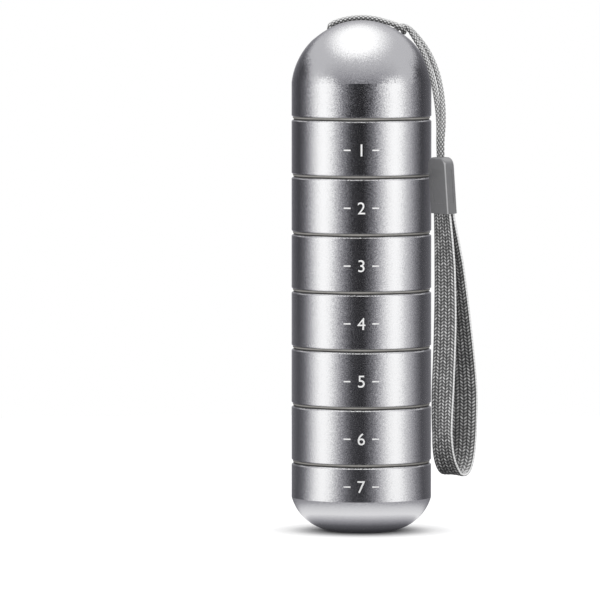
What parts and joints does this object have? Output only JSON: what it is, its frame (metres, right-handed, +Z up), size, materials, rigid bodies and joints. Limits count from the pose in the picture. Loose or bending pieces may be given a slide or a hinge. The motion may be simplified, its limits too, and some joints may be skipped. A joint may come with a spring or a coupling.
{
  "type": "stacking screw-together pill organizer",
  "caption": "Round aluminium pill cups that screw onto each other into a tower, with soft sealing rings, a domed screw cap and a clipped wrist lanyard.",
  "frame": {"origin": "middle of the base cup's foot, on the surface that it stands on", "axes": "+Z up along the screw axis of every joint; -Y towards the front, where the day numerals are; +X towards the side where the lanyard hangs"},
  "size_m": [0.0521, 0.04, 0.1477],
  "materials": {
    "aluminium": "fine-turned, satin clear anodised",
    "silicone": "smooth milky silicone",
    "cord": "tight round braid",
    "clip": "fine-grained moulding",
    "strap": "flat herringbone weave"
  },
  "bodies": {
    "base": {"base_cup": "aluminium"},
    "ring_7": {"seal_7": "silicone"},
    "day_6": {"cup_6": "aluminium"},
    "ring_6": {"seal_6": "silicone"},
    "day_5": {"cup_5": "aluminium"},
    "ring_5": {"seal_5": "silicone"},
    "day_4": {"cup_4": "aluminium"},
    "ring_4": {"seal_4": "silicone"},
    "day_3": {"cup_3": "aluminium"},
    "ring_3": {"seal_3": "silicone"},
    "day_2": {"cup_2": "aluminium"},
    "ring_2": {"seal_2": "silicone"},
    "day_1": {"cup_1": "aluminium"},
    "ring_1": {"seal_1": "silicone"},
    "cap": {"dome_cap": "aluminium", "lanyard_cord": "cord", "cord_knot": "cord", "clip_front": "clip", "clip_back": "clip", "wrist_strap": "strap"}
  },
  "joints": [
    {"name": "unscrew_7", "type": "hinge", "parent": "base", "child": "ring_7", "pos_m": [0, 0, 0.0195], "axis": [0, 0, 1], "range_deg": [0, 1800]},
    {"name": "rise_7", "type": "slide", "parent": "ring_7", "child": "day_6", "axis": [0, 0, 1], "range_m": [0, 0.00375]},
    {"name": "unscrew_6", "type": "hinge", "parent": "day_6", "child": "ring_6", "pos_m": [0, 0, 0.0359], "axis": [0, 0, 1], "range_deg": [0, 1800]},
    {"name": "rise_6", "type": "slide", "parent": "ring_6", "child": "day_5", "axis": [0, 0, 1], "range_m": [0, 0.00375]},
    {"name": "unscrew_5", "type": "hinge", "parent": "day_5", "child": "ring_5", "pos_m": [0, 0, 0.0523], "axis": [0, 0, 1], "range_deg": [0, 1800]},
    {"name": "rise_5", "type": "slide", "parent": "ring_5", "child": "day_4", "axis": [0, 0, 1], "range_m": [0, 0.00375]},
    {"name": "unscrew_4", "type": "hinge", "parent": "day_4", "child": "ring_4", "pos_m": [0, 0, 0.0687], "axis": [0, 0, 1], "range_deg": [0, 1800]},
    {"name": "rise_4", "type": "slide", "parent": "ring_4", "child": "day_3", "axis": [0, 0, 1], "range_m": [0, 0.00375]},
    {"name": "unscrew_3", "type": "hinge", "parent": "day_3", "child": "ring_3", "pos_m": [0, 0, 0.0851], "axis": [0, 0, 1], "range_deg": [0, 1800]},
    {"name": "rise_3", "type": "slide", "parent": "ring_3", "child": "day_2", "axis": [0, 0, 1], "range_m": [0, 0.00375]},
    {"name": "unscrew_2", "type": "hinge", "parent": "day_2", "child": "ring_2", "pos_m": [0, 0, 0.1015], "axis": [0, 0, 1], "range_deg": [0, 1800]},
    {"name": "rise_2", "type": "slide", "parent": "ring_2", "child": "day_1", "axis": [0, 0, 1], "range_m": [0, 0.00375]},
    {"name": "unscrew_1", "type": "hinge", "parent": "day_1", "child": "ring_1", "pos_m": [0, 0, 0.1179], "axis": [0, 0, 1], "range_deg": [0, 1800]},
    {"name": "rise_1", "type": "slide", "parent": "ring_1", "child": "cap", "axis": [0, 0, 1], "range_m": [0, 0.00375]}
  ],
  "couplings": [
    {"joint": "rise_7", "follows": "unscrew_7", "m_per_rad": 0.00011937},
    {"joint": "rise_6", "follows": "unscrew_6", "m_per_rad": 0.00011937},
    {"joint": "rise_5", "follows": "unscrew_5", "m_per_rad": 0.00011937},
    {"joint": "rise_4", "follows": "unscrew_4", "m_per_rad": 0.00011937},
    {"joint": "rise_3", "follows": "unscrew_3", "m_per_rad": 0.00011937},
    {"joint": "rise_2", "follows": "unscrew_2", "m_per_rad": 0.00011937},
    {"joint": "rise_1", "follows": "unscrew_1", "m_per_rad": 0.00011937}
  ]
}
